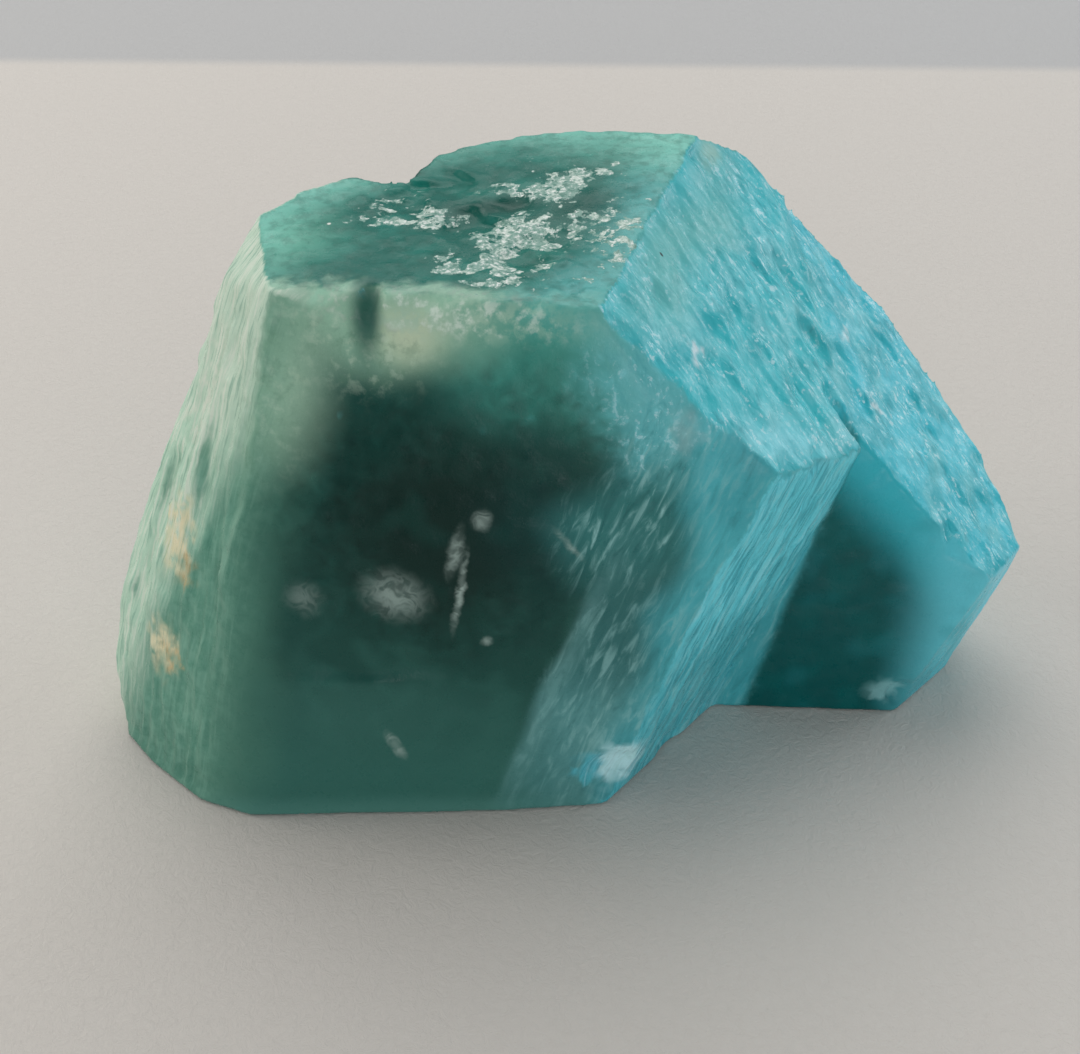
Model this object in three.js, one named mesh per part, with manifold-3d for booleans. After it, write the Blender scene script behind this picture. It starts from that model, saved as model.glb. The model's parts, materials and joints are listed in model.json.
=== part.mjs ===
// Rough amazonite: a blocky feldspar crystal with a smaller one grown into its side, standing on
// the flat spot it rests on. Millimetres, +Z up, origin under the middle of the specimen.
import * as THREE from 'three';
import { ConvexGeometry } from 'three/addons/geometries/ConvexGeometry.js';
import { mergeVertices } from 'three/addons/utils/BufferGeometryUtils.js';
import Module from 'manifold-3d';

const wasm = await Module();
wasm.setup();

// ---- driving dimensions ----------------------------------------------------------------------
const HEIGHT = 30.2; // height of the top face over the origin
const TOP_RISE = 0.06; // the top face climbs this much for each millimetre of x
const SLOPE_ANGLE = 44.5; // fall of the long sloping face, degrees
const SLOPE_BEARING = -20; // the way that face looks, degrees from +X
const SLOPE_HEIGHT = 34.4; // height of its plane carried back over the origin
const SECOND_STEP = 0.35; // the small crystal's slope lies this far below the large one's
const LIFT = 1.0; // how far a cutting tool starts outside the face it cuts

const OLIVE_TEAL = 0x3f8f86;

// ---- points and planes -----------------------------------------------------------------------
const radians = THREE.MathUtils.degToRad;
const point = (x, y, z) => new THREE.Vector3(x, y, z);

// A direction from a compass bearing (0 = +X, 90 = +Y) and a climb, in degrees.
function heading(bearing, climb) {
  const turn = radians(bearing);
  const flat = Math.cos(radians(climb));
  return point(Math.cos(turn) * flat, Math.sin(turn) * flat, Math.sin(radians(climb)));
}

// Corners of the top face and of the sloping face are given in plan; their planes set the height.
const onTop = (x, y) => point(x, y, HEIGHT + TOP_RISE * x);

function onSlope(x, y, drop = 0) {
  const bearing = radians(SLOPE_BEARING);
  const reach = x * Math.cos(bearing) + y * Math.sin(bearing);
  return point(x, y, SLOPE_HEIGHT - Math.tan(radians(SLOPE_ANGLE)) * reach - drop);
}

// ---- solids ----------------------------------------------------------------------------------
function solid(geometry) {
  const bare = geometry.clone();
  bare.deleteAttribute('normal');
  bare.deleteAttribute('uv');
  const merged = mergeVertices(bare, 1e-5);
  const vertProperties = new Float32Array(merged.attributes.position.array);
  const triVerts = new Uint32Array(merged.index.array);
  return new wasm.Manifold(new wasm.Mesh({ numProp: 3, vertProperties, triVerts }));
}

const block = (corners) => solid(new ConvexGeometry(corners));

// Where a line looking back along `outward` meets the skin of a crystal.
function onSkin(skin, near, outward) {
  const start = near.clone().addScaledVector(outward, 60);
  const ray = new THREE.Raycaster(start, outward.clone().negate());
  return ray.intersectObject(skin)[0];
}

// A long scar with one steep wall and one gentle one, as a cleavage step leaves. It follows the skin
// from above a to above b, `depth` deep along that line and rising to the skin again `width` away to
// the side, and it runs out to nothing at both ends. A line that leaves the skin gives no scar.
const SCAR_STATIONS = [0, 0.22, 0.48, 0.74, 1];
const SCAR_DEPTHS = [0.02, 1, 1, 0.8, 0.02]; // shares of the depth at those stations
function ledge(skin, a, b, outward, width, depth) {
  const side = b.clone().sub(a).cross(outward).normalize();
  const feet = SCAR_STATIONS.map((along) => onSkin(skin, a.clone().lerp(b, along), outward)?.point);
  if (feet.includes(undefined)) {
    return [];
  }
  const sections = feet.map((foot, i) => {
    const rim = foot.clone().addScaledVector(side, width * (0.15 + 0.85 * SCAR_DEPTHS[i]));
    const crest = onSkin(skin, rim, outward)?.point ?? rim;
    return [
      foot.clone().addScaledVector(outward, -depth * SCAR_DEPTHS[i]),
      foot.clone().addScaledVector(outward, LIFT),
      crest.clone().addScaledVector(outward, LIFT),
      crest,
    ];
  });
  return sections.slice(1).map((section, i) => block([...sections[i], ...section]));
}

// A blunt wedge driven in at `tip` looking along `inward`: a notch, groove or knocked-off corner.
function notch(tip, inward, along, halfLength, halfWidth, reach) {
  const side = inward.clone().cross(along).normalize();
  const corners = [];
  for (const end of [-1, 1]) {
    const edge = tip.clone().addScaledVector(along, end * halfLength);
    corners.push(edge);
    for (const flank of [-1, 1]) {
      corners.push(edge.clone().addScaledVector(inward, -reach).addScaledVector(side, flank * halfWidth));
    }
  }
  return block(corners);
}

// A bite with its mouth at these places on the skin, narrowing to `tip`.
function bite(mouth, tip) {
  return block([tip, ...mouth.map((place) => tip.clone().lerp(place, 1.25))]);
}

// A shell-shaped fracture: a flattened ball taken out of the surface.
function scallop(centre, radius, squash, bearing) {
  const ball = new THREE.IcosahedronGeometry(radius, 2);
  ball.scale(1, squash[0], squash[1]);
  ball.rotateZ(radians(bearing));
  ball.translate(centre.x, centre.y, centre.z);
  return solid(ball);
}

// ---- the two crystals ------------------------------------------------------------------------
const lipLeft = onTop(-14.5, -5.8);
const lipRight = onTop(1.2, -9.0);
const leftShoulder = onTop(-16.0, 1.8);
const ridgeBack = onTop(7.2, 8.4);
const prismTop = onSlope(10.4, -10.1); // where the two right-hand prism faces meet the slope
const prismFoot = point(2.1, -13.1, 0);
const frontFoot = point(-3.9, -13.6, 0); // the front face's right-hand end on the ground
const innerTop = onSlope(15.8, -4.1); // end of the large crystal against the small one
const innerFoot = point(10.9, -3.2, 0);
const farEnd = onSlope(12.7, 10.4); // far end of the large crystal's slope

const largeCorners = [
  lipLeft, lipRight, leftShoulder, ridgeBack, prismTop, prismFoot, frontFoot, innerTop, innerFoot,
  // back rim of the top face, and the far end of the slope
  onTop(-14.1, 4.2), onTop(-11.7, 5.8), onTop(-6.4, 8.0), onTop(-3.7, 9.4), onTop(-0.9, 9.9),
  onTop(1.8, 9.5), onSlope(10.6, 11.0), farEnd,
  // rounded corner where front, slope and prism meet, and the soft ridge below it
  point(3.4, -10.3, 26.2), point(-0.3, -12.4, 9.6),
  // left flank, from the shoulder down
  point(-17.7, -1.5, 27.2), point(-19.4, -0.5, 23.0), point(-22.0, -1.7, 17.3),
  point(-24.1, -2.8, 12.5), point(-25.6, -4.7, 8.5), point(-26.5, -5.9, 4.0),
  // bevel between the left flank and the front
  point(-20.3, -6.6, 17.0), point(-22.2, -8.1, 10.5), point(-17.3, -10.5, 15.2),
  // foot
  point(-17.8, -13.9, 0), point(-20.8, -12.8, 0), point(-24.0, -10.1, 0), point(-26.0, -7.8, 0),
  // back
  point(-26.0, 0.0, 7.0), point(-19.5, 7.0, 16.0), point(-13.5, 11.0, 12.0), point(-1.5, 13.5, 12.0),
  point(9.5, 13.5, 12.0), point(-23.5, 0.0, 0), point(-17.5, 7.0, 0), point(-1.5, 11.0, 0),
  point(10.5, 10.0, 0),
];

const smallTop = (x, y) => onSlope(x, y, SECOND_STEP);
const smallNose = smallTop(24.1, -5.1);
const smallTip = smallTop(27.3, -0.6);
const smallFoot = point(19.8, -6.0, 0);

const smallCorners = [
  smallNose, smallTip, smallFoot,
  // outer edge of its slope, from the junction down to the tip
  smallTop(13.1, 10.3), smallTop(15.7, 9.8), smallTop(18.1, 9.1), smallTop(22.0, 7.4),
  smallTop(24.9, 4.5), smallTop(26.6, 1.5),
  // corners buried in the large crystal
  smallTop(11.1, 5.1), smallTop(11.0, -2.0), point(7.0, -5.4, 0), point(8.5, 8.0, 0),
  // foot and back
  point(23.8, -2.1, 0), point(22.5, 6.0, 0), point(14.5, 11.0, 0), point(17.5, 11.5, 12.0),
];

// ---- relief ----------------------------------------------------------------------------------
const largeSkin = new THREE.Mesh(new ConvexGeometry(largeCorners), new THREE.MeshBasicMaterial());
const smallSkin = new THREE.Mesh(new ConvexGeometry(smallCorners), new THREE.MeshBasicMaterial());

// Scatters marks evenly without lining them up: multiples of a square root, wrapped to 0..1. Each
// measure that is scattered has its own root.
const ROOTS = [2, 3, 5, 7, 11, 13];
const scatter = (i, measure = 0) => ((i + 1) * Math.sqrt(ROOTS[measure])) % 1;

// Steep growth lines down the left flank and its bevel, fanning out towards the foot.
const FLANK_LINES = 26;
function flankLines() {
  const outward = heading(-152, 20);
  const footBack = point(-25.4, -5.4, 5.0);
  const footFront = point(-19.0, -11.6, 5.0);
  const cuts = [];
  for (let i = 0; i < FLANK_LINES; i += 1) {
    const top = leftShoulder.clone().lerp(lipLeft, scatter(i));
    const foot = footBack.clone().lerp(footFront, scatter(i));
    const start = 0.03 + 0.6 * scatter(i, 1);
    const end = Math.min(start + 0.22 + 0.2 * scatter(i, 2), 0.97);
    const depth = 0.25 + 0.35 * scatter(i, 3);
    const from = top.clone().lerp(foot, start);
    cuts.push(...ledge(largeSkin, from, top.clone().lerp(foot, end), outward, 1.3, depth));
  }
  return cuts;
}

// Fine ribs along the second prism face, parallel to the crystal's long axis.
const PRISM_LINES = 9;
function prismLines() {
  const outward = heading(-46, -12);
  const cuts = [];
  for (let i = 0; i < PRISM_LINES; i += 1) {
    const share = (0.85 * (i + 0.6)) / PRISM_LINES;
    const from = prismTop.clone().lerp(innerTop, share);
    const to = prismFoot.clone().lerp(innerFoot, share);
    const start = from.clone().lerp(to, 0.02 + 0.3 * scatter(i));
    const end = from.clone().lerp(to, 0.98 - 0.3 * scatter(i, 1));
    cuts.push(...ledge(largeSkin, start, end, outward, 0.8, 0.2 + 0.2 * scatter(i, 2)));
  }
  return cuts;
}

// Low, broken cleavage steps down the long slope of both crystals.
const SLOPE_STEPS = 62;
function slopeSteps() {
  const outward = heading(SLOPE_BEARING, 90 - SLOPE_ANGLE);
  const downhill = point(16.7, -12.1, -20).normalize();
  const level = ridgeBack.clone().sub(lipRight);
  const cuts = [];
  for (let i = 0; i < SLOPE_STEPS; i += 1) {
    const from = lipRight.clone().addScaledVector(level, 0.05 + 1.2 * scatter(i));
    from.addScaledVector(downhill, 0.6 + 26 * scatter(i, 1));
    const to = from.clone().addScaledVector(downhill, 2.5 + 4.5 * scatter(i, 2));
    const skin = onSmallSlope(to) ? smallSkin : largeSkin;
    const width = 0.6 + 1.2 * scatter(i, 3);
    cuts.push(...ledge(skin, from, to, outward, width, 0.08 + 0.14 * scatter(i, 4)));
  }
  return cuts;
}

// The small crystal's slope begins past the line from the large one's far end to its inner corner.
function onSmallSlope(place) {
  const along = (place.y - innerTop.y) / (farEnd.y - innerTop.y);
  return place.x > innerTop.x + along * (farEnd.x - innerTop.x);
}

// Flaky steps on the top face, in a band that runs across it to the front edge.
const FLAKES = 26;
function topFlakes() {
  const up = point(0, 0, 1);
  const cuts = [];
  for (let i = 0; i < FLAKES; i += 1) {
    const along = scatter(i);
    const x = -9.5 + 9.0 * along + 1.5 * scatter(i, 1);
    const y = 2.6 - 9.6 * along + 6.2 * scatter(i, 2);
    const reach = heading(-60 + 50 * scatter(i, 3), 0).multiplyScalar(0.9 + 1.3 * scatter(i, 4));
    const from = onTop(x - reach.x, y - reach.y);
    const to = onTop(x + reach.x, y + reach.y);
    cuts.push(...ledge(largeSkin, from, to, up, 1.4, 0.22 + 0.25 * scatter(i, 5)));
  }
  return cuts;
}

// Ledges across the broken back.
const BACK_LEDGES = 14;
function backLedges() {
  const outward = heading(100, 4);
  const cuts = [];
  for (let i = 0; i < BACK_LEDGES; i += 1) {
    const height = 3.5 + 23 * scatter(i);
    const from = point(-17 + 16 * scatter(i, 1), 10, height);
    const to = point(from.x + 6 + 7 * scatter(i, 2), 10, height + 1.6);
    const depth = 0.5 + 0.5 * scatter(i, 3);
    cuts.push(...ledge(largeSkin, from, to, outward, -2.4 - 1.6 * scatter(i, 4), depth));
  }
  return cuts;
}

// The front face: a level step above its foot, a long scar that runs down to the foot with the
// rougher stone on its right, and short torn fibres in a patch beside the upper right edge.
const FIBRES = 13;
function frontSteps() {
  const outward = heading(-97, 9);
  const downhill = point(-8.3, -3.0, -21.5).normalize();
  const cuts = [
    ...ledge(largeSkin, point(-15.4, -11, 9.1), point(-4.8, -11, 9.7), outward, -2.8, 0.3),
    ...ledge(largeSkin, point(2.1, -10, 17.0), point(-0.6, -11, 9.3), outward, 1.9, 0.26),
    ...ledge(largeSkin, point(-0.4, -11, 9.8), point(-3.4, -12, 1.8), outward, 2.1, 0.24),
  ];
  for (let i = 0; i < FIBRES; i += 1) {
    const fall = scatter(i);
    const from = point(4.4 - 3.4 * fall + 1.6 * scatter(i, 1), -10, 24.0 - 8.0 * fall);
    const to = from.clone().addScaledVector(downhill, 1.4 + 1.8 * scatter(i, 2));
    cuts.push(...ledge(largeSkin, from, to, outward, 0.5 + 0.4 * scatter(i, 3), 0.2));
  }
  return cuts;
}

// Small crumbled spots along the front lip: each is given as a place along it, 0 at the left.
const LIP_CRUMBS = [0.13, 0.5, 0.79];
function lipCrumbs() {
  return LIP_CRUMBS.map((along, i) => {
    const lip = lipLeft.clone().lerp(lipRight, along);
    const reach = 1.1 + 1.1 * scatter(i);
    const mouth = [
      lip.clone().add(point(-reach, 0.2 * reach, 0)),
      lip.clone().add(point(reach, -0.2 * reach, 0)),
      lip.clone().add(point(0.3 * reach, 0.75, 0)),
      lip.clone().add(point(-0.2 * reach, -0.15, -0.8)),
      lip.clone().add(point(0, -0.5, 0.5)),
    ];
    return bite(mouth, lip.clone().add(point(0, 0.3, -0.35)));
  });
}

// Knocks and fractures: the bite out of the back rim, the groove over the front lip, the chip and
// the splintered edge at the foot of the prism, small nicks near the ground, hollows in the back.
function knocks() {
  const down = point(0, 0, -1);
  const rimMouth = [onTop(-11.7, 5.9), onTop(-8.6, 4.8), onTop(-6.9, 7.9), onTop(-9.8, 10.5)];
  return [
    bite(rimMouth, point(-9.2, 8.6, 24.0)),
    notch(point(-9.55, -6.35, 28.6), heading(92, -50), heading(-88, -40), 1.7, 1.5, 2.5),
    ...lipCrumbs(),
    scallop(point(3.0, -14.0, 2.4), 2.7, [0.75, 1.0], 10),
    scallop(point(7.0, -9.6, 0.4), 2.0, [0.8, 0.8], 50),
    notch(point(8.0, -6.4, 1.2), heading(135, 25), heading(48, 0), 1.4, 1.3, 4),
    scallop(point(20.6, -6.6, 1.4), 1.7, [0.8, 0.8], -20),
    notch(point(25.0, -2.6, 4.4), heading(140, 0), down, 1.2, 0.8, 3),
    scallop(point(-22.6, 4.2, 20.5), 5.0, [0.8, 1.4], 50),
    scallop(point(-4.5, 15.6, 20.0), 5.4, [0.7, 1.2], 5),
    scallop(point(6.0, 16.3, 9.0), 5.0, [0.8, 1.1], -10),
    scallop(point(24.4, 7.6, 4.5), 3.6, [0.8, 1.1], -50),
  ];
}

// ---- assembly --------------------------------------------------------------------------------
let stone = block(largeCorners).add(block(smallCorners));
const cuts = [
  ...flankLines(), ...prismLines(), ...slopeSteps(), ...topFlakes(), ...backLedges(),
  ...frontSteps(), ...knocks(),
];
for (const cut of cuts) {
  stone = stone.subtract(cut);
}
// Crumbs left between two cuts fall away.
const [specimen] = stone.decompose().sort((one, other) => other.volume() - one.volume());

function toGeometry(manifold) {
  const mesh = manifold.getMesh();
  const geometry = new THREE.BufferGeometry();
  geometry.setAttribute('position', new THREE.BufferAttribute(new Float32Array(mesh.vertProperties), 3));
  geometry.setIndex(new THREE.BufferAttribute(new Uint32Array(mesh.triVerts), 1));
  return geometry;
}

// The specimen is centred over the origin with its flat spot on the ground.
const faceted = toGeometry(specimen);
faceted.computeBoundingBox();
const middle = faceted.boundingBox.getCenter(new THREE.Vector3());
faceted.translate(-middle.x, -middle.y, -faceted.boundingBox.min.z);
const geometry = faceted.toNonIndexed();
geometry.computeVertexNormals();

const material = new THREE.MeshStandardMaterial({ color: OLIVE_TEAL, roughness: 0.35, metalness: 0 });
const amazonite = new THREE.Mesh(geometry, material);
amazonite.name = 'amazonite';

const group = new THREE.Group();
group.add(amazonite);

export default group;
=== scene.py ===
"""Rough amazonite: the stone's fine surface, its colour zones and the plain studio round it."""
import json
import math

import bpy
import numpy as np
from mathutils import Euler, Matrix, Vector

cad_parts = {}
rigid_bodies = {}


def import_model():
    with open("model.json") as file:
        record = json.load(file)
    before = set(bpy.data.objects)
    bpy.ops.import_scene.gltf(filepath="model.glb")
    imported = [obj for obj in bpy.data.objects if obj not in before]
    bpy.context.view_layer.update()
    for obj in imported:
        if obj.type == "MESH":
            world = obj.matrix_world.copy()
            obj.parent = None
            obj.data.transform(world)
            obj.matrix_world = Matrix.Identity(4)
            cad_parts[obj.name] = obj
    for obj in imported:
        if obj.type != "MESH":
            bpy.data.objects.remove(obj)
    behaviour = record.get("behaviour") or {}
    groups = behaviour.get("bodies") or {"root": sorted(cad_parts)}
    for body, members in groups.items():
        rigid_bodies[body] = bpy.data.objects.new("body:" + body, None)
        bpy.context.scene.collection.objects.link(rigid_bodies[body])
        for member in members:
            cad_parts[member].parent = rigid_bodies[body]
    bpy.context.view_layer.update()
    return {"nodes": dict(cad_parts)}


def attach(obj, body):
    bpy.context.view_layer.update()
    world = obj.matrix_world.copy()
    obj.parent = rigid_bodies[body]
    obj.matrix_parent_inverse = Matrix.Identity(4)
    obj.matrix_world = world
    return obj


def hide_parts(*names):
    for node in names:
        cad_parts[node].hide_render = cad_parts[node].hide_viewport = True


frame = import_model()

MM = 0.001  # metres in a millimetre

# ---- driving sizes, in millimetres ----------------------------------------------------------
GRAIN = 0.16  # size of the working mesh's cells
MOST_TRIANGLES = 186000
CAMERA_PLACE = (-1.9, -65.8, 65.0)
CAMERA_DROP = 40  # degrees below level
CAMERA_LENS = 48.5
FLOOR_EDGE = 92  # how far behind the stone the floor turns greyer

# Ways that the stone's faces look, and the run of its cleavage streaks.
SLOPE_OUT = Vector((0.67, -0.244, 0.70)).normalized()
SLOPE_DOWN = Vector((16.7, -12.1, -20.0)).normalized()
FLANK_OUT = Vector((-0.72, -0.52, 0.40)).normalized()
FLANK_DOWN = Vector((-10.0, -8.0, -24.0)).normalized()
PRISM_DOWN = Vector((-8.3, -3.0, -21.5)).normalized()
RIB_OUT = Vector((0.69, -0.70, -0.20)).normalized()
OUTER_OUT = Vector((-0.87, -0.26, 0.40)).normalized()
SHOULDER_OUT = Vector((-0.53, -0.16, 0.83))
BEVEL_OUT = Vector((-0.60, -0.74, 0.28)).normalized()
FRONT_OUT = Vector((-0.10, -0.97, 0.22)).normalized()
BACK = Vector((0, 1, 0))
FAR_SIDE = Vector((0.70, 0.72, 0)).normalized()
UP = Vector((0, 0, 1))


# ---- stone: mesh ----------------------------------------------------------------------------
def only(piece):
    """Selects this piece and nothing else."""
    bpy.ops.object.select_all(action="DESELECT")
    piece.select_set(True)
    bpy.context.view_layer.objects.active = piece


def stone_blank():
    """The faceted stone as a working copy, merged, with a millimetre to the unit."""
    source = frame["nodes"]["amazonite"]
    blank = source.copy()
    blank.data = source.data.copy()
    blank.parent = None
    blank.name = "rough_stone"
    blank.data.name = "rough_stone"
    bpy.context.scene.collection.objects.link(blank)
    only(blank)
    bpy.ops.object.mode_set(mode="EDIT")
    bpy.ops.mesh.select_all(action="SELECT")
    bpy.ops.mesh.remove_doubles(threshold=1e-6)
    bpy.ops.object.mode_set(mode="OBJECT")
    blank.scale = (1 / MM,) * 3
    bpy.ops.object.transform_apply(scale=True)
    return blank


def apply(piece, modifier):
    only(piece)
    bpy.ops.object.modifier_apply(modifier=modifier.name)


def remesh(piece, cell):
    modifier = piece.modifiers.new("grain", "REMESH")
    modifier.mode = "VOXEL"
    modifier.voxel_size = cell
    modifier.use_smooth_shade = True
    apply(piece, modifier)


def smooth(piece, rounds, group=""):
    modifier = piece.modifiers.new("wear", "SMOOTH")
    modifier.factor = 0.5
    modifier.iterations = rounds
    modifier.vertex_group = group
    apply(piece, modifier)


def ramp(value, low, high):
    """0 below low, 1 above high, and an even, smooth rise between."""
    share = np.clip((value - low) / (high - low), 0.0, 1.0)
    return share * share * (3 - 2 * share)


def weigh(piece, name, weights):
    """Stores one weight for each vertex as a vertex group, in 20 steps."""
    group = piece.vertex_groups.new(name=name)
    steps = np.round(np.clip(weights, 0.0, 1.0) * 20).astype(int)
    for step in range(1, 21):
        members = np.nonzero(steps == step)[0]
        if len(members):
            group.add(members.tolist(), step / 20, "REPLACE")
    return group.name


def places_and_normals(piece):
    count = len(piece.data.vertices)
    places = np.empty(count * 3)
    normals = np.empty(count * 3)
    piece.data.vertices.foreach_get("co", places)
    piece.data.vertex_normals.foreach_get("vector", normals)
    return places.reshape(-1, 3), normals.reshape(-1, 3)


def pattern(name, kind, stops=((0.0, 0.0), (1.0, 1.0)), **settings):
    """A carving pattern: each stop gives what is left standing at a brightness of the pattern."""
    texture = bpy.data.textures.new(name, kind)
    for key, value in settings.items():
        setattr(texture, key, value)
    texture.use_color_ramp = True
    for element, (position, level) in zip(texture.color_ramp.elements, stops):
        element.position = position
        element.color = (level, level, level, 1)
    return texture


def guide(out, down, size):
    """An empty whose axes lie across, along and out of a face, and whose scale is a pattern's."""
    across = out.cross(down).normalized()
    square_out = across.cross(down).normalized()
    empty = bpy.data.objects.new("guide", None)
    bpy.context.scene.collection.objects.link(empty)
    turn = Matrix((across, down.normalized(), square_out)).transposed().to_4x4()
    empty.matrix_world = turn @ Matrix.Diagonal((*size, 1))
    return empty


def carve(piece, texture, depth, group, out, down, size):
    """Sinks the surface by up to `depth` where the pattern is dark. Nothing is ever raised."""
    empty = guide(out, down, size)
    modifier = piece.modifiers.new(texture.name, "DISPLACE")
    modifier.texture = texture
    modifier.texture_coords = "OBJECT"
    modifier.texture_coords_object = empty
    modifier.strength = depth
    modifier.mid_level = 1.0
    modifier.vertex_group = group
    bpy.context.view_layer.update()
    apply(piece, modifier)
    bpy.data.objects.remove(empty)
    bpy.data.textures.remove(texture)


def drop_crumbs(piece):
    """Deletes whatever has come loose from the rest, which holds the highest point."""
    heights = places_and_normals(piece)[0][:, 2]
    only(piece)
    bpy.ops.object.mode_set(mode="EDIT")
    bpy.ops.mesh.select_all(action="DESELECT")
    bpy.ops.object.mode_set(mode="OBJECT")
    piece.data.vertices[int(np.argmax(heights))].select = True
    bpy.ops.object.mode_set(mode="EDIT")
    bpy.ops.mesh.select_linked()
    bpy.ops.mesh.select_all(action="INVERT")
    bpy.ops.mesh.delete(type="VERT")
    bpy.ops.object.mode_set(mode="OBJECT")


def soft_normals(piece, rounds):
    """The way that each vertex would look if the stone were worn much rounder."""
    worn = piece.copy()
    worn.data = piece.data.copy()
    bpy.context.scene.collection.objects.link(worn)
    smooth(worn, rounds)
    normals = places_and_normals(worn)[1]
    mesh = worn.data
    bpy.data.objects.remove(worn)
    bpy.data.meshes.remove(mesh)
    return normals


def facing(normals, way, low, high):
    return ramp(normals @ np.array(way), low, high)


def wear_edges(stone, places, normals, clear_of_foot):
    """Evens out the glassy front, and rounds the ridge beside the top face and the front corner."""
    front = facing(normals, FRONT_OUT, 0.9, 0.97) * clear_of_foot
    smooth(stone, 14, weigh(stone, "glassy", front))
    ridge = ramp(places @ np.array((0.92, -0.39, 0)), 1.5, 3.5) * ramp(places[:, 2], 26.0, 28.0)
    corner = ramp(places @ np.array((0.5, -1, 0)), 6.5, 9.5) * ramp(places[:, 2], 21.0, 24.0)
    smooth(stone, 60, weigh(stone, "rounded", np.maximum(ridge, corner)))


def carve_relief(stone, places, normals, clear_of_foot):
    """Streaks, waves, growth lines, ribbing, flakes and breaks, each on its own face, then pits."""
    def area(name, mask):
        return weigh(stone, name, mask * clear_of_foot)

    slope = area("slope", facing(normals, SLOPE_OUT, 0.62, 0.9) * (1 - facing(normals, UP, 0.82, 0.92)))
    streaks = pattern("streaks", "CLOUDS", ((0.3, 0), (0.6, 1)), noise_scale=1.0, noise_depth=3)
    carve(stone, streaks, 0.12, slope, SLOPE_OUT, SLOPE_DOWN, (0.6, 2.4, 2.0))
    waves = pattern("waves", "CLOUDS", ((0.3, 0), (0.7, 1)), noise_scale=1.0, noise_depth=1)
    carve(stone, waves, 0.24, slope, SLOPE_OUT, SLOPE_DOWN, (1.8, 4.4, 3.0))

    flank = area("flank", facing(normals, FLANK_OUT, 0.80, 0.94))
    growth = pattern("growth", "CLOUDS", ((0.3, 0), (0.65, 1)), noise_scale=1.0, noise_depth=3)
    carve(stone, growth, 0.26, flank, FLANK_OUT, FLANK_DOWN, (0.5, 5.5, 2.0))

    ribs = area("ribs", facing(normals, RIB_OUT, 0.80, 0.93))
    ribbing = pattern("ribbing", "CLOUDS", ((0.3, 0), (0.65, 1)), noise_scale=1.0, noise_depth=2)
    carve(stone, ribbing, 0.2, ribs, RIB_OUT, PRISM_DOWN, (0.42, 9.0, 2.0))

    band = np.exp(-(((places[:, 0] + places[:, 1] + 5.5) / 4.6) ** 2))
    top_face = facing(normals, UP, 0.93, 0.98) * ramp(places[:, 2], 27.5, 28.5)
    top = weigh(stone, "top", top_face * (0.2 + 0.8 * band))
    flakes = pattern("flakes", "VORONOI", ((0.1, 1), (0.5, 0)), noise_scale=1.0)
    carve(stone, flakes, 0.22, top, UP, Vector((0.7, -0.7, 0)), (0.6, 0.9, 0.5))

    back = area("back", facing(normals, BACK, 0.3, 0.7))
    breaks = pattern("breaks", "VORONOI", ((0.1, 1), (0.7, 0)), noise_scale=1.0)
    carve(stone, breaks, 0.5, back, BACK, Vector((0.3, 0, -1)), (2.6, 4.6, 2.6))

    everywhere = weigh(stone, "everywhere", clear_of_foot)
    pitting = pattern("pitting", "CLOUDS", ((0.3, 0), (0.7, 1)), noise_scale=0.9, noise_depth=4)
    carve(stone, pitting, 0.09, everywhere, UP, BACK, (1, 1, 1))


def wear_crest(stone):
    """Rounds the edge between the long slope and the two sides behind it."""
    normals = soft_normals(stone, 20)
    crests = [facing(normals, (SLOPE_OUT + side).normalized(), 0.88, 0.94) for side in (BACK, FAR_SIDE)]
    smooth(stone, 30, weigh(stone, "crest", np.maximum(*crests)))
    stone.vertex_groups.clear()


def thin_out(piece, most):
    """Brings the mesh down to a number of triangles."""
    triangles = sum(len(face.vertices) - 2 for face in piece.data.polygons)
    if triangles > most:
        modifier = piece.modifiers.new("fewer", "DECIMATE")
        modifier.ratio = most / triangles
        apply(piece, modifier)


def rough_stone():
    cell = GRAIN
    stone = stone_blank()
    remesh(stone, cell)
    smooth(stone, 8)
    places = places_and_normals(stone)[0]
    normals = soft_normals(stone, 24)
    clear_of_foot = ramp(places[:, 2], 0.15, 0.9)
    wear_edges(stone, places, normals, clear_of_foot)
    carve_relief(stone, places, normals, clear_of_foot)
    stone.vertex_groups.clear()

    remesh(stone, cell)
    smooth(stone, 3)
    wear_crest(stone)
    thin_out(stone, MOST_TRIANGLES)
    drop_crumbs(stone)
    paint_ground(stone)
    only(stone)
    stone.scale = (MM,) * 3
    bpy.ops.object.transform_apply(scale=True)
    bpy.ops.object.shade_smooth_by_angle(angle=math.radians(50))
    return stone


# ---- stone: broad colours, laid on the mesh -----------------------------------------------------
DICE = np.random.default_rng(4)
CHANCES = DICE.permutation(4096)
SLANTS = DICE.normal(size=(4096, 3))


def ripple(places):
    """A smooth noise about 0 whose bumps lie a millimetre apart."""
    cell = np.floor(places).astype(int)
    inside = places - cell
    ease = inside ** 3 * (inside * (inside * 6 - 15) + 10)
    total = 0
    for corner in np.ndindex(2, 2, 2):
        where = cell + corner
        key = CHANCES[where[:, 0] % 4096]
        key = CHANCES[(key + where[:, 1]) % 4096]
        key = CHANCES[(key + where[:, 2]) % 4096]
        share = np.prod(np.where(corner, ease, 1 - ease), axis=1)
        total += share * np.sum(SLANTS[key] * (inside - corner), axis=1)
    return total


def clouds(places, scale, detail, seed):
    """A noise about 0.5, with finer ripples on the broad ones."""
    layers = [0.5 ** layer * ripple(places * scale * 2 ** layer + 37.3 * seed) for layer in range(detail)]
    return 0.5 + 0.28 * sum(layers)


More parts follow.
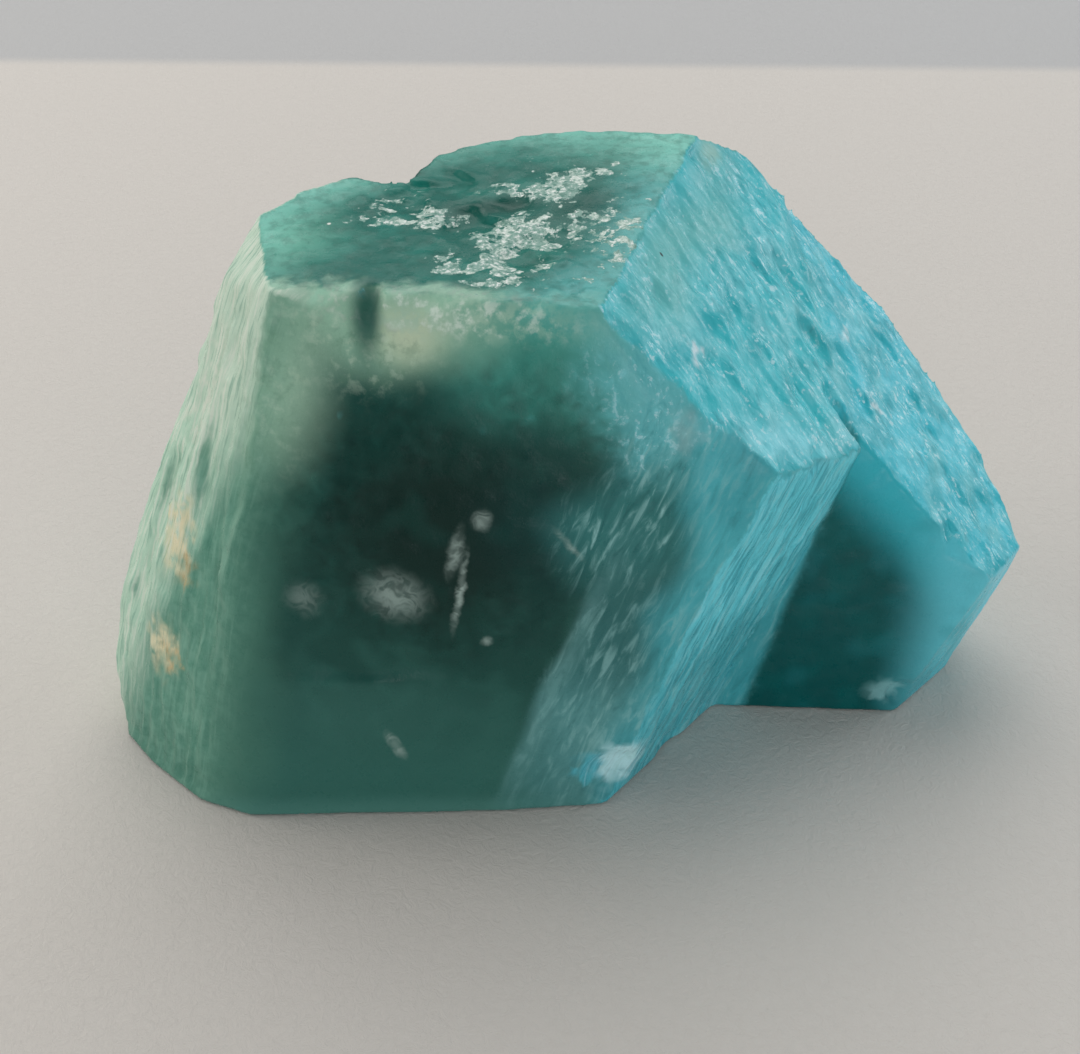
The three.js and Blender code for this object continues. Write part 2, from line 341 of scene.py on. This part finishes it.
def shade(red, green, blue):
    """A colour as it looks on a screen, 0 to 255, turned to the shader's even scale."""
    values = []
    for part in (red, green, blue):
        part = part / 255
        values.append(part / 12.92 if part <= 0.04045 else ((part + 0.055) / 1.055) ** 2.4)
    return (*values, 1.0)


class Ground:
    """The stone's broad colours, laid on its vertices in coats. Places and sizes are in millimetres."""

    def __init__(self, piece, tint):
        self.place = places_and_normals(piece)[0]
        normals = soft_normals(piece, 36)
        self.colour = np.tile(shade(*tint), (len(self.place), 1))
        self.broad = [clouds(self.place, 0.42, 2, seed) for seed in (1, 2, 3)]
        self.crumbs = clouds(self.place, 1.4, 3, 4)
        self.stirred = self.moved(0.2, 1, 2.2)
        self.calm = self.moved(0.2, 1, 0.9)
        self.ragged = self.moved(1.2, 3, 1.1)

        self.slope = self.frayed(facing(normals, SLOPE_OUT, 0.84, 0.97), 0.8)
        self.top = self.frayed(facing(normals, UP, 0.84, 0.97) * ramp(self.place[:, 2], 27.3, 28.8), 0.7)
        self.back = facing(normals, BACK, 0.2, 0.6)
        self.outer = self.beyond(OUTER_OUT - BEVEL_OUT, 3.0, 5.2, self.calm) * (1 - self.top)
        self.outer *= ramp(-self.place[:, 0], 12.0, 14.5) * (1 - facing(normals, FRONT_OUT, 0.82, 0.95))
        self.outer *= 1 - facing(normals, BACK, 0.5, 0.8)
        self.bevel = self.beyond((-0.5, 0.23, 0.06), 6.2, 8.6, self.calm)
        self.bevel *= facing(normals, BEVEL_OUT, 0.5, 0.75) * (1 - self.outer) * (1 - self.top)
        # the rounded shoulder above the flank, which takes pale mint and a painted highlight
        self.shoulder = facing(normals, SHOULDER_OUT, 0.7, 0.92)
        self.small = ramp(self.place[:, 0] - 0.266 * self.place[:, 2], 9.9, 10.7) * (1 - self.slope)
        self.ribs = self.frayed(facing(normals, RIB_OUT, 0.82, 0.94), 0.5) * (1 - self.small)

        elsewhere = (1 - self.back) * (1 - self.small) * (1 - self.slope)
        self.prism = self.beyond((1, 0, -0.18), 0.4, 3.2) * elsewhere
        veiled = self.zone((4.0, -12.0, 7.5), (12.0, 6.0, 14.0), core=0.25) * (1 - self.small)
        self.veil = veiled * self.beyond((0.941, 0, -0.338), -4.9, -4.1, self.calm)
        self.veil_edge = self.veil * self.beyond((-0.941, 0, 0.338), 3.3, 4.2, self.calm)
        self.corner = self.mottled(self.zone((4.1, -9.4, 25.5), (5.2, 4.2, 6.2), core=0.2), 0.8)
        self.ridge = self.zone((5.4, -0.5, 29.4), (3.9, 13.5, 4.4), (0, 0, -23), core=0.1)

    def moved(self, scale, detail, reach):
        """The places, moved about by a noise: borders drawn with them wander."""
        swing = np.stack([clouds(self.place, scale, detail, seed) for seed in (5, 6, 7)], axis=1)
        return self.place + (swing - 0.5) * 2 * reach

    def frayed(self, mask, amount):
        """A mask whose soft border is broken up by the crumbs."""
        return ramp(mask + (self.crumbs - 0.5) * amount, 0.25, 0.75)

    def mottled(self, mask, amount):
        """A mask with the crumbs showing in its soft border, which stays as wide as it was."""
        return np.clip(mask + (self.crumbs - 0.5) * amount * 4 * mask * (1 - mask), 0.0, 1.0)

    def coat(self, mask, tint, amount=1.0):
        self.colour += (mask * amount)[:, None] * (np.array(shade(*tint)) - self.colour)

    def zone(self, centre, size, turn=(0, 0, 0), core=0.3, where=None):
        """1 in the core of an egg-shaped zone, falling to 0 at its edge."""
        places = self.stirred if where is None else where
        turned = Euler([math.radians(angle) for angle in turn]).to_matrix()
        local = (places - centre) @ np.array(turned) / size
        return ramp(np.linalg.norm(local, axis=1), 1.0, core)

    def beyond(self, out, low, high, where=None):
        """Rises from 0 to 1 with the distance out along a direction."""
        places = self.stirred if where is None else where
        return ramp(places @ np.array(out), low, high)

    def keep(self, piece, name, columns):
        """Stores the colour, or up to four masks, with the mesh for the material."""
        values = np.zeros((len(self.place), 4))
        for index, column in enumerate(columns):
            values[:, index] = column
        attribute = piece.data.color_attributes.new(name=name, type="FLOAT_COLOR", domain="POINT")
        attribute.data.foreach_set("color", values.ravel())

    def coat_front(self):
        """Dark, glassy green with a darker heart, partly its own deep colour and partly painted shade of the
        backlit face; lighter at its foot, with painted light under the lip.
        """
        self.coat(self.beyond((0, 0, -1), -10.0, -2.0), (54, 112, 102), 0.9)
        self.coat(ramp(self.broad[0], 0.44, 0.66), (52, 108, 98), 0.4)
        self.coat(self.beyond((-1, 0, 0.19), 16.4, 19.8), (78, 132, 114), 0.7)
        # the darker heart: the clear body's own deep green, deepened by painted shade where the backlit face
        # gets little light
        heart = self.mottled(self.zone((-6.6, -10.8, 18.4), (11.0, 9.0, 9.6), core=0.2, where=self.calm), 1.1)
        self.coat(heart, (0, 40, 34), 0.97)
        self.coat(heart * ramp(self.broad[1], 0.5, 0.7), (12, 68, 60), 0.5)
        below_step = self.beyond((0.03, 0, -1), -9.9, -9.4, self.place)
        self.coat(below_step * self.zone((-11.5, -12, 7.6), (9.0, 6.0, 4.4), core=0.1), (62, 118, 108), 0.45)
        self.coat(ramp(self.place[:, 2], 1.8, 0.2), (92, 148, 138), 0.5)

        self.coat(heart * self.beyond((1, 0, 0), -6.0, -1.0), (0, 62, 62), 0.5)

        # painted light: the top of the front, under the lip, and its right end, lighter as if lit from above
        upper = self.mottled(self.beyond((0.2, 0.1, 1), 20.6, 27.6), 0.9)
        self.coat(upper * self.beyond((1, 0, 0), -9.0, -4.0), (72, 160, 146), 0.9)
        right_end = self.beyond((0.25, 0, 1), 26.2, 29.8) * self.beyond((1, 0, 0), -6.0, -1.0)
        self.coat(right_end, (104, 182, 172), 0.8)
        altered = [
            ((-9.8, -7.2, 29.0), (9.2, 4.4, 4.4), 0.3, (158, 204, 178), 0.92),
            ((-15.0, -7.4, 25.0), (4.4, 4.4, 6.4), 0.0, (172, 210, 184), 0.95),
            ((-8.2, -7.6, 28.1), (3.2, 3.0, 2.3), 0.1, (204, 220, 190), 0.85),
        ]
        for centre, size, core, tint, amount in altered:
            self.coat(self.zone(centre, size, core=core, where=self.calm), tint, amount)

    def coat_prism(self):
        """Clear teal on the right-hand prism faces, bluer on the inner one; a milky veil beside them."""
        self.coat(self.zone((3.0, -10.8, 20.6), (4.6, 3.4, 8.4), (0, 20, 0), core=0.3), (58, 130, 128), 0.85)
        self.coat(self.veil, (62, 124, 124), 0.85)
        self.coat(self.veil * self.beyond((0, 0, -1), -11.5, -6.5), (98, 162, 162), 0.8)
        self.coat(self.veil_edge, (128, 182, 180), 0.45)
        self.coat(self.corner, (108, 198, 204), 0.85)
        self.coat(self.prism, (84, 190, 200), 0.9)
        self.coat(self.prism * ramp(self.broad[2], 0.44, 0.64), (60, 158, 168), 0.5)
        self.coat(self.ribs, (110, 222, 236), 0.85)
        low = np.maximum(self.prism, self.ribs) * self.beyond((0, 0, -1), -14.0, -7.0)
        self.coat(low, (56, 150, 158), 0.45)
        self.coat(self.zone((5.0, -10.2, 24.0), (0.9, 1.2, 1.6), where=self.ragged), (160, 176, 176), 0.35)
        chip = [
            ((2.5, -12.0, 2.9), (2.2, 2.2, 2.0), 0.45, (204, 250, 255), 0.9),
            ((1.0, -12.5, 2.9), (0.9, 2.0, 1.5), 0.5, (84, 190, 206), 0.8),
        ]
        for centre, size, core, tint, amount in chip:
            self.coat(self.zone(centre, size, core=core, where=self.ragged), tint, amount)

    def coat_small_crystal(self):
        """Deep teal, deepened by painted shade where the big crystal shades it, with a painted glow towards
        its thin edges.
        """
        # its own deep teal, darkened by painted shade from the big crystal
        self.coat(self.small, (0, 84, 83))
        self.coat(self.small * ramp(self.broad[0], 0.42, 0.66), (0, 100, 98), 0.5)
        # painted glow: lighter towards the thin top edge, the right edge and the right end, as if light shone
        # through them
        self.coat(self.small * self.beyond(SLOPE_OUT, 19.6, 23.4, self.place), (60, 192, 206), 0.95)
        self.coat(self.small * self.beyond((1, -0.2, 0), 18.6, 23.6, self.place), (104, 208, 222), 0.95)
        self.coat(self.small * ramp(self.broad[2], 0.5, 0.72), (34, 136, 142), 0.25)
        self.coat(self.small * self.beyond((1, 0, 0), 23.4, 25.0, self.place), (134, 224, 240), 0.9)
        self.coat(self.zone((18.8, -5.6, 1.8), (1.7, 1.7, 1.0), where=self.ragged), (164, 220, 222), 0.5)

    def coat_slopes(self):
        """Bright turquoise on the long slopes, milky along their upper and front edges."""
        self.coat(self.slope, (72, 200, 210))
        self.coat(self.slope * self.beyond((1, 0.18, 0), 13.6, 15.2), (70, 202, 220), 0.9)
        self.coat(self.slope * ramp(self.broad[1], 0.44, 0.62), (44, 168, 178), 0.5)
        self.coat(self.slope * ramp(self.broad[2], 0.5, 0.66), (120, 210, 218), 0.6)
        upper_edge = self.zone((5.6, -0.5, 29.4), (3.6, 13.0, 4.2), (0, 0, -23), core=0.0)
        self.coat(upper_edge, (122, 206, 206), 0.75)
        front_edge = self.zone((10.3, -7.2, 21.5), (7.5, 2.0, 2.0), (0, 26.5, 32), core=0.1)
        self.coat(front_edge, (142, 228, 240), 0.65)
        beads = [
            ((5.8, -6.5, 26.4), (0.5, 0.9, 0.9), (0, 35, 0), (226, 240, 246)),
            ((15.3, 4.0, 20.9), (0.4, 0.5, 1.2), (30, -40, 0), (200, 234, 240)),
            ((16.9, 0.8, 18.3), (0.35, 0.5, 0.7), (0, -40, 0), (222, 244, 250)),
        ]
        for centre, size, turn, tint in beads:
            self.coat(self.zone(centre, size, turn, core=0.5, where=self.ragged), tint, 0.85)
        self.coat(self.zone((7.3, 6.7, 29.6), (1.2, 1.8, 1.4), core=0.2), (196, 216, 196), 0.7)

    def coat_flank(self):
        """Pale mint and chalky, stained ochre and rust in two places, with a painted highlight along the
        shoulder.
        """
        self.coat(self.bevel, (104, 162, 141), 0.85)
        self.coat(self.bevel * self.beyond(UP, 17.0, 25.0), (138, 184, 158), 0.9)
        self.coat(self.bevel * self.beyond(-UP, -4.5, -1.5), (52, 104, 90), 0.35)
        # pale mint on the shoulder, lightened as a painted highlight along the edge
        self.coat(self.shoulder * self.beyond((-1, 0, 0), 9.0, 13.0), (160, 212, 188), 0.9)
        self.coat(self.outer, (194, 230, 207), 0.95)
        self.coat(self.outer * self.beyond(UP, 19.0, 25.0), (206, 230, 210), 0.8)
        chalk = self.zone((-19.6, -3.4, 21.5), (2.6, 3.0, 6.0), (0, 18, 0), core=0.2)
        self.coat(chalk * ramp(self.crumbs, 0.5, 0.62), (238, 242, 228), 0.7)
        stains = [
            ((-21.3, -6.6, 14.8), (1.3, 2.6, 3.6), 20, 0.95),
            ((-22.9, -8.5, 8.2), (1.3, 2.2, 2.6), 10, 0.9),
        ]
        for centre, size, lean, amount in stains:
            stain = self.zone(centre, size, (0, lean, 0), where=self.ragged)
            self.coat(stain * ramp(self.crumbs, 0.3, 0.5), (240, 232, 194), amount)
        for centre in ((-20.9, -8.0, 13.4), (-22.6, -9.2, 7.8)):
            self.coat(self.zone(centre, (0.9, 1.4, 1.3), where=self.ragged), (214, 174, 112), 0.6)

    def coat_top(self):
        """Clear green, with a painted glow at its thin far rim and left end, and dark patches among the
        flakes.
        """
        self.coat(self.top, (6, 108, 96))
        self.coat(self.top * ramp(self.broad[0], 0.45, 0.64), (36, 136, 122), 0.55)
        # painted glow at the thin left end of the top face
        self.coat(self.top * self.zone((-15.0, -0.5, 29.4), (5.2, 6.0, 4.0), core=0.1), (108, 188, 166), 0.9)
        self.coat(self.top * self.beyond((0.92, -0.39, 0), -0.6, 3.8), (98, 186, 184), 0.88)
        self.coat(self.top * self.zone((0.8, 1.2, 30.2), (4.0, 2.8, 2.0), (0, 0, 20), 0.1), (0, 84, 74), 0.8)
        dark = self.zone((-4.4, 1.8, 30.0), (3.6, 2.0, 2.0), (0, 0, -10), core=0.1)
        self.coat(self.top * dark, (0, 72, 62), 0.85)
        # painted glow where light would shine through the thin far rim
        rim = 1 - self.zone((-3.9, -2.8, 30.0), (14.2, 13.6, 9.0), core=0.62)
        self.coat(self.top * rim, (136, 214, 197), 0.92)
        crust = self.top * self.beyond((-0.17, -1, 0), 6.9, 7.7, self.ragged)
        self.coat(crust * self.beyond((-1, 0, 0), 2.0, 5.0), (160, 204, 180), 0.85)
        self.coat(crust * self.beyond((1, 0, 0), -5.0, -2.0), (110, 186, 176), 0.75)
        self.coat(self.ridge, (112, 196, 194), 0.8)

    def coat_back(self):
        """Broken, cloudy green."""
        self.coat(self.back, (72, 146, 134), 0.85)
        self.coat(self.back * ramp(self.broad[2], 0.36, 0.72), (112, 178, 164), 0.55)
        self.coat(self.back * ramp(self.crumbs, 0.5, 0.7), (150, 204, 190), 0.35)

    def brushed(self):
        """Where the strokes of the slopes lie: patchy, and thinner on the ridge."""
        mask = np.maximum(self.slope * (1 - 0.4 * self.ridge), 0.7 * self.corner)
        return mask * (0.4 + 0.6 * ramp(self.broad[0], 0.4, 0.6))

    def milky(self):
        """Where torn fibres lie: in a patch beside the corner, in the veil and on the prism."""
        torn = self.zone((2.8, -10.8, 20.6), (4.2, 3.2, 8.0), (0, 20, 0), core=0.3)
        return np.maximum(np.maximum(torn, 0.65 * self.veil), 0.45 * self.prism)

    def altered(self):
        """Where the stone crumbles, under the lip and down the front's left edge."""
        under_lip = self.zone((-11.6, -7.6, 27.8), (8.2, 4.4, 4.0), core=0.1)
        left_edge = self.zone((-15.2, -7.4, 24.6), (3.6, 4.4, 6.0), core=0.0)
        return np.maximum(under_lip, 0.7 * left_edge)

    def flakes(self):
        """Where the top face is flaked: bands that cross it, broken up by the broad noise."""
        bands = [
            ((-3.8, -3.0, 30.0), (6.2, 5.0, 2.5), 20, 1.0),
            ((-0.8, 3.8, 30.2), (6.4, 3.8, 2.5), 0, 1.0),
            ((-8.0, 1.2, 29.8), (6.4, 3.0, 2.5), -28, 0.85),
            ((0.6, -1.8, 30.2), (7.0, 8.0, 2.5), 0, 0.6),
        ]
        mask = 0
        for centre, size, turn, amount in bands:
            mask = np.maximum(mask, amount * self.zone(centre, size, (0, 0, turn), core=0.2))
        return mask * (0.35 + 0.65 * ramp(self.broad[2], 0.4, 0.54)) * self.top


def paint_ground(piece):
    """Lays every coat on the stone and stores them, and where the material's fine markings go."""
    ground = Ground(piece, (26, 78, 70))
    ground.coat_front()
    ground.coat_prism()
    ground.coat_small_crystal()
    ground.coat_back()
    ground.coat_flank()
    ground.coat_slopes()
    ground.coat_top()
    ground.keep(piece, "tint", ground.colour.T)
    ground.keep(piece, "sides", (ground.brushed(), ground.outer, ground.bevel, ground.ribs))
    ground.keep(piece, "marks", (ground.milky(), ground.altered(), ground.flakes(), ground.top))


# ---- stone: material ------------------------------------------------------------------------
class Nodes:
    """A short hand for wiring one material's nodes."""

    def __init__(self, name):
        self.material = bpy.data.materials.new(name)
        self.material.use_nodes = True
        self.tree = self.material.node_tree
        self.tree.nodes.clear()
        self.place = self.vector("SCALE", self.add("ShaderNodeTexCoord").outputs["Object"], scale=1 / MM)

    def add(self, kind, inputs=(), **settings):
        made = self.tree.nodes.new(kind)
        for key, value in settings.items():
            setattr(made, key, value)
        for key, value in dict(inputs).items():
            self.feed(made.inputs[key], value)
        return made

    def feed(self, socket, value):
        if isinstance(value, bpy.types.NodeSocket):
            self.tree.links.new(value, socket)
        else:
            socket.default_value = value

    def math(self, operation, first, second=0.0):
        return self.add("ShaderNodeMath", {0: first, 1: second}, operation=operation).outputs[0]

    def times(self, *shares):
        product = shares[0]
        for share in shares[1:]:
            product = self.math("MULTIPLY", product, share)
        return product

    def vector(self, operation, first, second=(0, 0, 0), scale=1.0):
        made = self.add("ShaderNodeVectorMath", {0: first, 1: second, 3: scale}, operation=operation)
        return made.outputs["Value" if operation in ("DOT_PRODUCT", "LENGTH") else "Vector"]

    def rise(self, value, low, high, bottom=0.0, top=1.0):
        """A smooth change from bottom to top as the value goes from low to high."""
        inputs = {"Value": value, "From Min": low, "From Max": high, "To Min": bottom, "To Max": top}
        return self.add("ShaderNodeMapRange", inputs, interpolation_type="SMOOTHSTEP").outputs["Result"]

    def noise(self, scale, detail=3.0, roughness=0.55, where=None, distortion=0.0, output="Fac"):
        inputs = {"Vector": where or self.place, "Scale": scale, "Detail": detail}
        inputs.update({"Roughness": roughness, "Distortion": distortion})
        return self.add("ShaderNodeTexNoise", inputs).outputs[output]

    def mix(self, share, first, second):
        made = self.add("ShaderNodeMix", data_type="RGBA")
        for key, value in (("Factor_Float", share), ("A_Color", first), ("B_Color", second)):
            self.feed(next(socket for socket in made.inputs if socket.identifier == key), value)
        return next(socket for socket in made.outputs if socket.identifier == "Result_Color")


class Paint(Nodes):
    """Fine markings laid over the colours kept with the mesh. Places and sizes are in millimetres."""

    def __init__(self, name):
        super().__init__(name)
        self.colour = self.add("ShaderNodeAttribute", attribute_name="tint").outputs["Color"]
        self.slope, self.outer, self.bevel, self.ribs = self.kept("sides")
        self.milky, self.altered, self.flakes, self.top = self.kept("marks")

    def parts(self, colour):
        return self.add("ShaderNodeSeparateColor", {"Color": colour}).outputs[:]

    def kept(self, name):
        stored = self.add("ShaderNodeAttribute", attribute_name=name)
        return (*self.parts(stored.outputs["Color"]), stored.outputs["Alpha"])

    def coat(self, mask, tint, amount=1.0):
        self.colour = self.mix(self.times(mask, amount), self.colour, shade(*tint))

    def zone(self, centre, size, turn=(0, 0, 0), core=0.3, where=None):
        """1 in the core of an egg-shaped zone, falling to 0 at its edge."""
        inputs = {"Vector": where or self.place, "Location": centre, "Scale": size}
        inputs["Rotation"] = [math.radians(angle) for angle in turn]
        local = self.add("ShaderNodeMapping", inputs, vector_type="TEXTURE").outputs["Vector"]
        return self.rise(self.vector("LENGTH", local), 1.0, core)

    def streaks(self, out, down, size, detail=4.0, distortion=0.0):
        """A noise drawn out on a face: size is the breadth, length and depth of its streaks."""
        across = out.cross(down).normalized()
        parts = {}
        for index, (axis, reach) in enumerate(zip((across, down, out), size)):
            parts[index] = self.vector("DOT_PRODUCT", self.place, tuple(axis / reach))
        where = self.add("ShaderNodeCombineXYZ", parts).outputs[0]
        return self.noise(1.0, detail, where=where, distortion=distortion)


def stone_material():
    paint = Paint("amazonite")
    swing = paint.noise(1.4, 4.0, 0.62, output="Color")
    crumbs, flecks, _ = paint.parts(swing)[:3]
    fine = paint.noise(4.2, 3.0, 0.62)
    swayed = paint.vector("ADD", paint.place, paint.vector("SCALE", swing, scale=0.5))

    # milky wisps and a cloud under the front face; these places allow for the sway above
    white = (180, 202, 194)
    curls = paint.noise(1.1, 2.0, 0.5, distortion=0.8)
    aside = paint.math("ABSOLUTE", paint.math("SUBTRACT", curls, 0.5))
    strands = paint.rise(aside, 0.16, 0.0, 0.4, 1.0)
    cluster = paint.zone((-9.05, -11.1, 14.95), (2.4, 2.6, 1.9), (0, 15, 0), core=0.0, where=swayed)
    paint.coat(paint.times(cluster, strands), white, 0.6)
    wisps = [
        ((-5.9, -10.8, 17.6), (0.55, 1.8, 2.0), 14, 0.6),
        ((-5.7, -11.1, 15.3), (0.34, 1.6, 3.4), 10, 0.8),
        ((-4.5, -10.6, 19.5), (0.7, 1.6, 0.8), 30, 0.6),
        ((-13.8, -10.7, 14.4), (1.4, 1.8, 1.4), 20, 0.3),
        ((-4.4, -11.5, 12.4), (0.45, 1.2, 0.45), 0, 0.6),
        ((-9.5, -12.7, 5.4), (0.5, 1.4, 1.4), -25, 0.7),
        ((-0.2, -10.9, 18.2), (0.3, 1.4, 1.6), -38, 0.5),
    ]
    for centre, size, lean, amount in wisps:
        wisp = paint.zone(centre, size, (0, lean, 0), core=0.0, where=swayed)
        paint.coat(paint.times(wisp, strands), white, amount)
    fibres = paint.streaks(FRONT_OUT, PRISM_DOWN, (0.5, 2.4, 1.6), 5.0, 0.7)
    paint.coat(paint.times(paint.milky, paint.rise(fibres, 0.48, 0.72)), (156, 210, 208), 0.75)
    paint.coat(paint.times(paint.milky, paint.rise(fibres, 0.5, 0.3)), (26, 92, 92), 0.55)
    ribbing = paint.streaks(RIB_OUT, PRISM_DOWN, (0.22, 3.0, 1.0), 3.0, 0.3)
    paint.coat(paint.times(paint.ribs, paint.rise(ribbing, 0.5, 0.38)), (40, 150, 166), 0.55)
    paint.coat(paint.times(paint.ribs, paint.rise(ribbing, 0.54, 0.7)), (180, 234, 242), 0.3)

    # crumbling altered stone and its pale lip, and painted shade in the groove across that
    paint.coat(paint.times(paint.altered, paint.rise(flecks, 0.46, 0.68)), (96, 140, 116), 0.5)
    paint.coat(paint.times(paint.altered, paint.rise(crumbs, 0.5, 0.7)), (200, 224, 202), 0.5)
    lip = paint.zone((-7.0, -7.2, 29.4), (9.8, 2.2, 1.7), (0, 0, -9), core=0.2, where=swayed)
    paint.coat(paint.times(lip, paint.rise(crumbs, 0.42, 0.6)), (170, 206, 184), 0.75)
    paint.coat(paint.times(lip, paint.rise(flecks, 0.48, 0.68)), (226, 242, 230), 0.75)
    # painted shade: a dark patch in the groove that crosses the lip
    shaded_groove = paint.zone((-10.1, -6.4, 28.2), (1.2, 2.8, 3.2), core=0.2)
    paint.coat(shaded_groove, (14, 86, 76), 0.9)

    # streaks of the slopes and the flank, and painted glints on the slopes
    strokes = paint.streaks(SLOPE_OUT, SLOPE_DOWN, (0.36, 1.0, 1.0), 5.0, 1.0)
    paint.coat(paint.times(paint.slope, paint.rise(strokes, 0.5, 0.28)), (20, 142, 156), 0.5)
    paint.coat(paint.times(paint.slope, paint.rise(strokes, 0.46, 0.72)), (140, 226, 236), 0.75)
    # painted glints: near-white specks where the strokes and the fine noise peak, standing in for sparkle
    painted_glints = paint.rise(paint.math("ADD", strokes, fine), 1.08, 1.22)
    paint.coat(paint.times(paint.slope, painted_glints), (216, 244, 250), 0.6)
    grain = paint.streaks(FLANK_OUT, FLANK_DOWN, (0.2, 2.8, 1.0), 4.0, 0.2)
    paint.coat(paint.times(paint.outer, paint.rise(grain, 0.5, 0.62)), (236, 244, 230), 0.6)
    paint.coat(paint.times(paint.outer, paint.rise(grain, 0.45, 0.34)), (104, 164, 144), 0.5)
    paint.coat(paint.times(paint.bevel, paint.rise(grain, 0.5, 0.68)), (150, 198, 178), 0.3)
    paint.coat(paint.times(paint.bevel, paint.rise(crumbs, 0.44, 0.66)), (134, 184, 164), 0.4)
    paint.coat(paint.times(paint.bevel, paint.rise(grain, 0.46, 0.36)), (66, 124, 108), 0.3)

    # pale flakes on the top face, among darker crumbs, with painted glints on their whitest specks
    paint.coat(paint.times(paint.top, paint.rise(flecks, 0.4, 0.7)), (4, 88, 76), 0.4)
    dense = paint.math("ADD", crumbs, paint.rise(paint.flakes, 0.0, 1.0, -0.18, 0.09))
    flaked = paint.times(paint.rise(dense, 0.48, 0.54), paint.rise(paint.flakes, 0.05, 0.2))
    paint.coat(flaked, (146, 184, 172), 0.85)
    # painted glints: the whitest specks of the flakes stand in for their sparkle
    paint.coat(paint.times(flaked, paint.rise(flecks, 0.5, 0.6)), (210, 228, 218), 0.85)
    paint.coat(paint.times(flaked, paint.rise(fine, 0.52, 0.64)), (248, 252, 248), 0.8)
    paint.coat(paint.times(flaked, paint.rise(fine, 0.46, 0.36)), (64, 124, 110), 0.7)

    specks = [
        ((-12.6, 0.6, 29.5), (236, 240, 232)),
        ((4.1, -2.4, 29.4), (20, 40, 40)),
        ((3.3, -3.7, 29.7), (20, 40, 40)),
    ]
    for centre, tint in specks:
        paint.coat(paint.zone(centre, (0.15, 0.15, 0.3), core=0.6), tint)

    bump = paint.add("ShaderNodeBump", {"Strength": 0.3, "Distance": 0.00008, "Height": fine})
    surface = paint.add("ShaderNodeBsdfPrincipled", {
        "Base Color": paint.colour,
        "Roughness": paint.rise(crumbs, 0.3, 0.7, 0.24, 0.42),
        "IOR": 1.5,
        "Specular IOR Level": 0.2,
        "Normal": bump.outputs["Normal"],
    })
    paint.add("ShaderNodeOutputMaterial", {"Surface": surface.outputs["BSDF"]})
    return paint.material


# ---- studio ---------------------------------------------------------------------------------
def camera():
    data = bpy.data.cameras.new("camera")
    data.lens = CAMERA_LENS
    data.sensor_width = 36
    data.clip_start = 0.005
    made = bpy.data.objects.new("camera", data)
    made.location = Vector(CAMERA_PLACE) * MM
    made.rotation_euler = (math.radians(90 - CAMERA_DROP), 0, 0)
    bpy.context.scene.collection.objects.link(made)
    bpy.context.scene.camera = made


def paper():
    """Pale paper, a shade greyer on the far side of its edge."""
    nodes = Nodes("pale paper")
    depth = nodes.vector("DOT_PRODUCT", nodes.place, (0.02, 1, 0))
    far = nodes.rise(depth, FLOOR_EDGE - 1.5, FLOOR_EDGE + 1.5)
    tooth = nodes.noise(1.6, 5.0, 0.65, distortion=1.2)
    bump = nodes.add("ShaderNodeBump", {"Strength": 0.35, "Distance": 0.0003, "Height": tooth})
    surface = nodes.add("ShaderNodeBsdfPrincipled", {
        "Base Color": nodes.mix(far, shade(214, 209, 203), shade(190, 190, 190)),
        "Roughness": 0.9,
        "Normal": bump.outputs["Normal"],
    })
    nodes.add("ShaderNodeOutputMaterial", {"Surface": surface.outputs["BSDF"]})
    return nodes.material


def floor():
    bpy.ops.object.select_all(action="DESELECT")
    bpy.ops.mesh.primitive_plane_add(size=1.2, location=(0, 0, 0))
    sheet = bpy.context.active_object
    sheet.name = "floor"
    sheet.data.materials.append(paper())


def softbox(name, place, aim, size, power, tint):
    data = bpy.data.lights.new(name, "AREA")
    data.shape = "RECTANGLE"
    data.size, data.size_y = (side * MM for side in size)
    data.energy = power
    data.color = tint
    made = bpy.data.objects.new(name, data)
    made.location = Vector(place) * MM
    made.rotation_euler = (Vector(aim) - Vector(place)).to_track_quat("-Z", "Y").to_euler()
    bpy.context.scene.collection.objects.link(made)


def studio():
    softbox("ceiling", (-30, 230, 350), (0, 0, 0), (380, 380), 1.02, (1.0, 0.985, 0.965))
    softbox("front fill", (50, -260, 60), (5, 0, 12), (160, 120), 0.17, (0.97, 0.985, 1.0))
    softbox("window", (300, 165, 95), (0, 0, 10), (160, 120), 0.24, (0.86, 0.95, 1.0))
    softbox("left fill", (-260, 30, 120), (-10, 0, 12), (160, 160), 0.2, (1.0, 0.95, 0.86))
    world = bpy.data.worlds.new("room")
    world.use_nodes = True
    background = world.node_tree.nodes["Background"]
    background.inputs["Color"].default_value = (0.95, 0.97, 1.0, 1)
    background.inputs["Strength"].default_value = 0.29
    bpy.context.scene.world = world
    bpy.context.scene.view_settings.view_transform = "Standard"


# ---- making ---------------------------------------------------------------------------------
camera()
stone = rough_stone()
stone.data.materials.clear()
stone.data.materials.append(stone_material())
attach(stone, "root")
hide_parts("amazonite")
floor()
studio()
